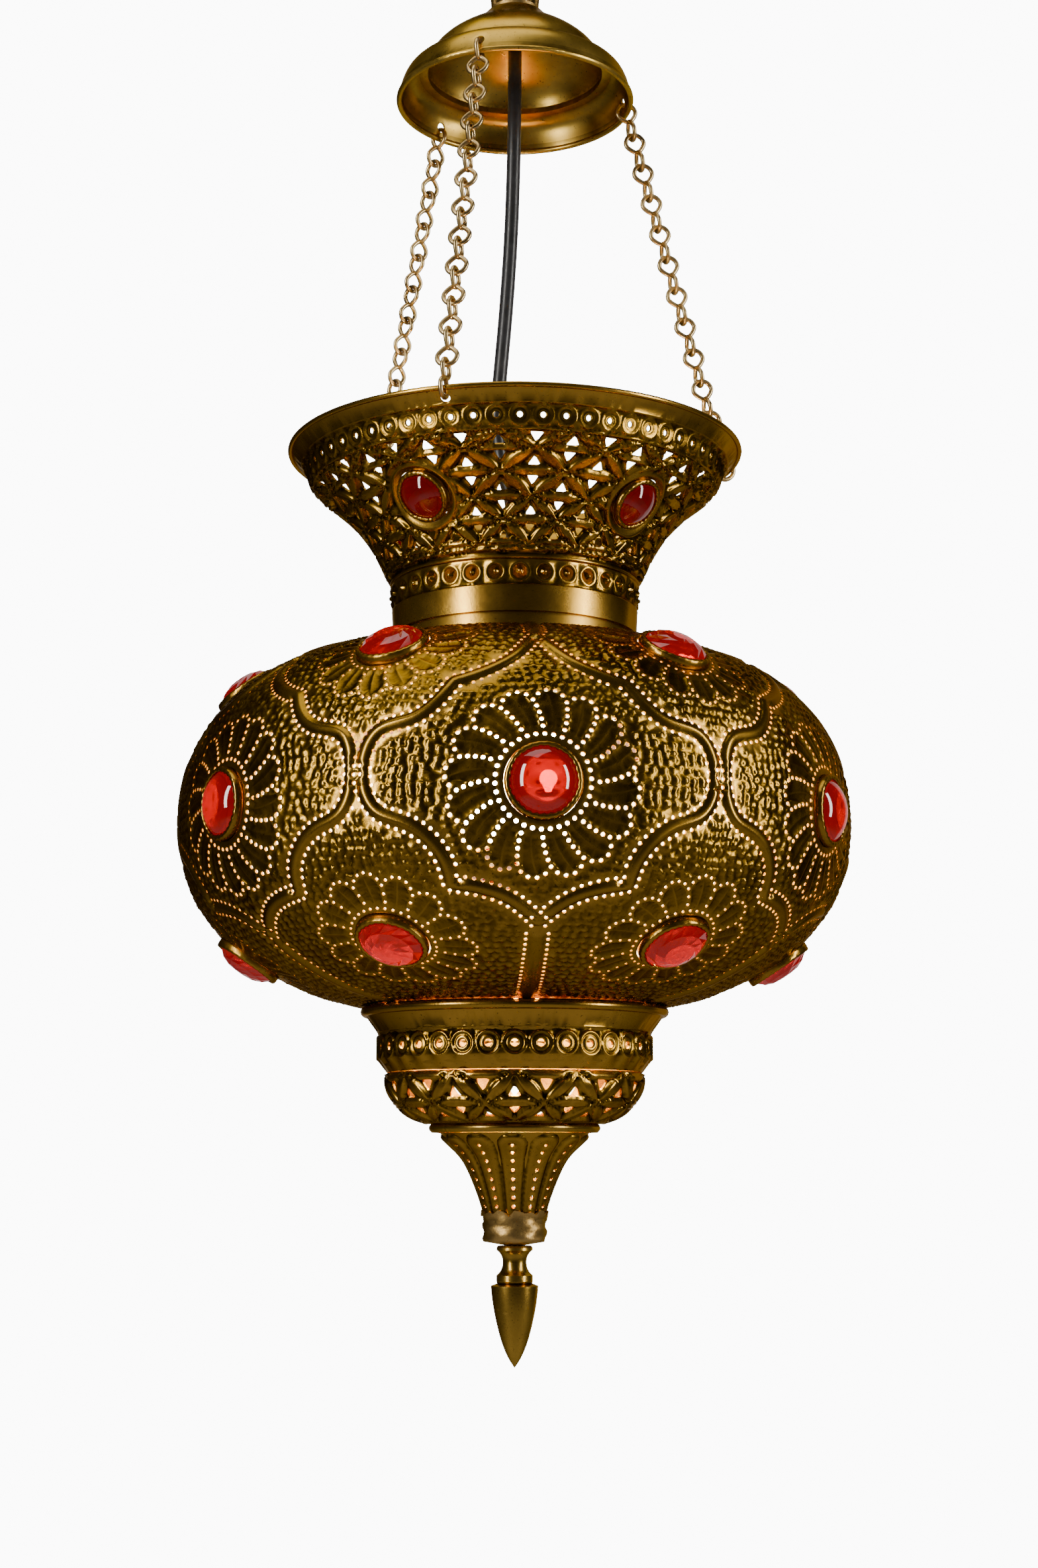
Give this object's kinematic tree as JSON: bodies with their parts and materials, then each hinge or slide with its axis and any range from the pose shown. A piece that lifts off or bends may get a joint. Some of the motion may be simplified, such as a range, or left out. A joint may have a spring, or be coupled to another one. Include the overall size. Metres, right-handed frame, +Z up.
{
  "type": "sanctuary lamp",
  "caption": "Hanging sanctuary lamp of pierced sheet brass: onion body set with red glass stones, flared gallery, canopy on jack chains, pointed drop finial.",
  "frame": {"origin": "centre of the ceiling face, on the lamp's axis", "axes": "+Z up along the lamp's axis, out of the ceiling face; -Y is the front, +X its right"},
  "size_m": [0.3106, 0.3248, 0.772],
  "materials": {
    "aged_brass": "aged, dark in the hollows, rubbed bright on the ridges",
    "bright_brass": "brushed, lightly tarnished",
    "red_glass": "polished",
    "clear_glass": "polished",
    "black_flex": "smooth, slightly glossy",
    "black_plastic": "moulded",
    "porcelain": "glazed",
    "plated_steel": "zinc plated",
    "tungsten": "drawn wire"
  },
  "bodies": {
    "ceiling": {"ceiling_bracket": "plated_steel", "ceiling_rose": "bright_brass", "ceiling_hook": "bright_brass", "hook_nut": "plated_steel", "rose_bush": "black_plastic", "terminal_block": "black_plastic", "cord_upper": "black_flex"},
    "canopy": {"hanger_loop": "aged_brass", "hanger_tube": "bright_brass", "canopy": "bright_brass", "canopy_washer": "bright_brass", "canopy_nut": "bright_brass", "cord_lower": "black_flex"},
    "front_chain": {"chain_front": "bright_brass"},
    "right_chain": {"chain_right": "bright_brass"},
    "rear_chain": {"chain_rear": "bright_brass"},
    "lamp": {"gallery": "aged_brass", "gallery_bezels": "aged_brass", "gallery_stones": "red_glass", "neck_band": "bright_brass", "neck_ring": "aged_brass", "body_upper": "aged_brass", "body_lower": "aged_brass", "equator_bezels": "aged_brass", "equator_stones": "red_glass", "upper_bezels": "aged_brass", "upper_stones": "red_glass", "lower_bezels": "aged_brass", "lower_stones": "red_glass", "collar": "aged_brass", "pierced_bowl": "aged_brass", "bowl_ring": "aged_brass", "tail_cone": "aged_brass", "ferrule": "aged_brass", "finial": "bright_brass", "finial_nut": "plated_steel", "holder_strap": "aged_brass", "strap_screws": "plated_steel", "strap_nuts": "plated_steel", "holder_body": "black_plastic", "shade_ring": "black_plastic", "holder_cap": "black_plastic", "cord_grip": "black_plastic", "holder_insert": "porcelain", "holder_shell": "bright_brass", "holder_contact": "bright_brass"},
    "bulb_carrier": {"bulb_contact": "plated_steel"},
    "bulb": {"bulb_cap": "bright_brass", "bulb_glass": "clear_glass", "bulb_filament": "tungsten"}
  },
  "joints": [
    {"name": "hook_swing", "type": "hinge", "parent": "ceiling", "child": "canopy", "pos_m": [0, 0, -0.069], "axis": [0, 1, 0], "range_deg": [-12, 12], "deforming": ["cord_upper"]},
    {"name": "lamp_sway", "type": "hinge", "parent": "canopy", "child": "lamp", "pos_m": [0, 0, 0.04906], "axis": [1, 0, 0], "range_deg": [-2, 2], "deforming": ["cord_lower"]},
    {"name": "front_chain_tilt", "type": "hinge", "parent": "canopy", "child": "front_chain", "pos_m": [-0.01634, -0.05346, -0.1599], "axis": [1, 0, 0], "range_deg": [-4.3, 4.3]},
    {"name": "right_chain_tilt", "type": "hinge", "parent": "canopy", "child": "right_chain", "pos_m": [0.05447, 0.01257, -0.1599], "axis": [1, 0, 0], "range_deg": [-4.3, 4.3]},
    {"name": "rear_chain_tilt", "type": "hinge", "parent": "canopy", "child": "rear_chain", "pos_m": [-0.03812, 0.04088, -0.1599], "axis": [1, 0, 0], "range_deg": [-4.3, 4.3]},
    {"name": "bulb_drop", "type": "slide", "parent": "lamp", "child": "bulb_carrier", "axis": [0, 0, -1], "range_m": [0, 0.0109]},
    {"name": "bulb_turn", "type": "hinge", "parent": "bulb_carrier", "child": "bulb", "pos_m": [0, 0, -0.44], "axis": [0, 0, -1], "range_deg": [0, 1080]}
  ],
  "couplings": [
    {"joint": "front_chain_tilt", "follows": "lamp_sway", "ratio": 2.1004},
    {"joint": "right_chain_tilt", "follows": "lamp_sway", "ratio": 2.1004},
    {"joint": "rear_chain_tilt", "follows": "lamp_sway", "ratio": 2.1004},
    {"joint": "bulb_drop", "follows": "bulb_turn", "m_per_rad": 0.00057296}
  ]
}
